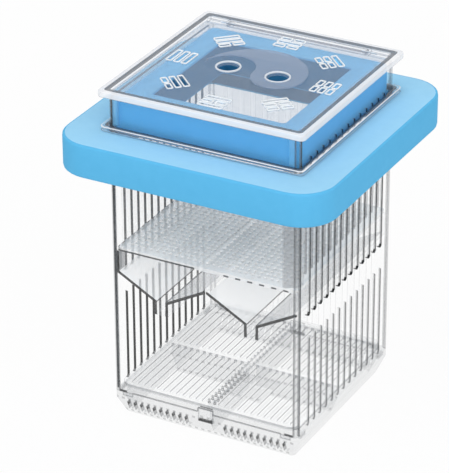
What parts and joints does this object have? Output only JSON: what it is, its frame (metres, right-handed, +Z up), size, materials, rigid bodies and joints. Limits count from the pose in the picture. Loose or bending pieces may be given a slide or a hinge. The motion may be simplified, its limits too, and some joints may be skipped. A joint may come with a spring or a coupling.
{
  "type": "fish breeding box",
  "caption": "Floating fish breeding box: slotted clear walls on a tapered foot, blue foam float, V troughs, perforated tray, neck foam ring and hinged lid with round holes and slots.",
  "frame": {"origin": "middle of the underside of the foot, which is the bottom centre of the bounding box", "axes": "+Z up, -Y towards the plain front window, +X to the right when looking at that window"},
  "size_m": [0.141, 0.141, 0.1738],
  "materials": {
    "clear_plastic": "clear polished polystyrene",
    "blue_foam": "matt closed-cell foam",
    "pin_steel": "drawn"
  },
  "bodies": {
    "box": {"base_tray": "clear_plastic", "floor_grid": "clear_plastic", "front_window_panel": "clear_plastic", "back_slotted_panel": "clear_plastic", "left_slotted_panel": "clear_plastic", "right_slotted_panel": "clear_plastic", "front_left_post": "clear_plastic", "front_right_post": "clear_plastic", "back_left_post": "clear_plastic", "back_right_post": "clear_plastic", "left_support_rail": "clear_plastic", "right_support_rail": "clear_plastic", "front_rest_tab": "clear_plastic", "back_rest_tab": "clear_plastic", "front_snap_latch": "clear_plastic", "back_snap_latch": "clear_plastic", "retaining_collar": "clear_plastic"},
    "float": {"float_ring": "blue_foam"},
    "troughs": {"left_v_trough": "clear_plastic", "right_v_trough": "clear_plastic"},
    "tray": {"perforated_plate": "clear_plastic", "tray_sleeve": "clear_plastic"},
    "neck_ring": {"neck_foam_ring": "blue_foam"},
    "lid": {"lid_frame": "clear_plastic", "left_hinge_pin": "pin_steel", "right_hinge_pin": "pin_steel"},
    "lid_flap": {"lid_panel": "clear_plastic"}
  },
  "joints": [
    {"name": "float_slide", "type": "slide", "parent": "box", "child": "float", "axis": [0, 0, 1], "range_m": [-0.115, 0]},
    {"name": "troughs_lift", "type": "slide", "parent": "box", "child": "troughs", "axis": [0, 0, 1], "range_m": [0, 0.115]},
    {"name": "tray_lift", "type": "slide", "parent": "troughs", "child": "tray", "axis": [0, 0, 1], "range_m": [0, 0.085]},
    {"name": "neck_ring_lift", "type": "slide", "parent": "tray", "child": "neck_ring", "axis": [0, 0, 1], "range_m": [0, 0.02]},
    {"name": "lid_lift", "type": "slide", "parent": "neck_ring", "child": "lid", "axis": [0, 0, 1], "range_m": [0, 0.03]},
    {"name": "lid_hinge", "type": "hinge", "parent": "lid", "child": "lid_flap", "pos_m": [0, 0.0471, 0.1724], "axis": [-1, 0, 0], "range_deg": [0, 110]}
  ]
}
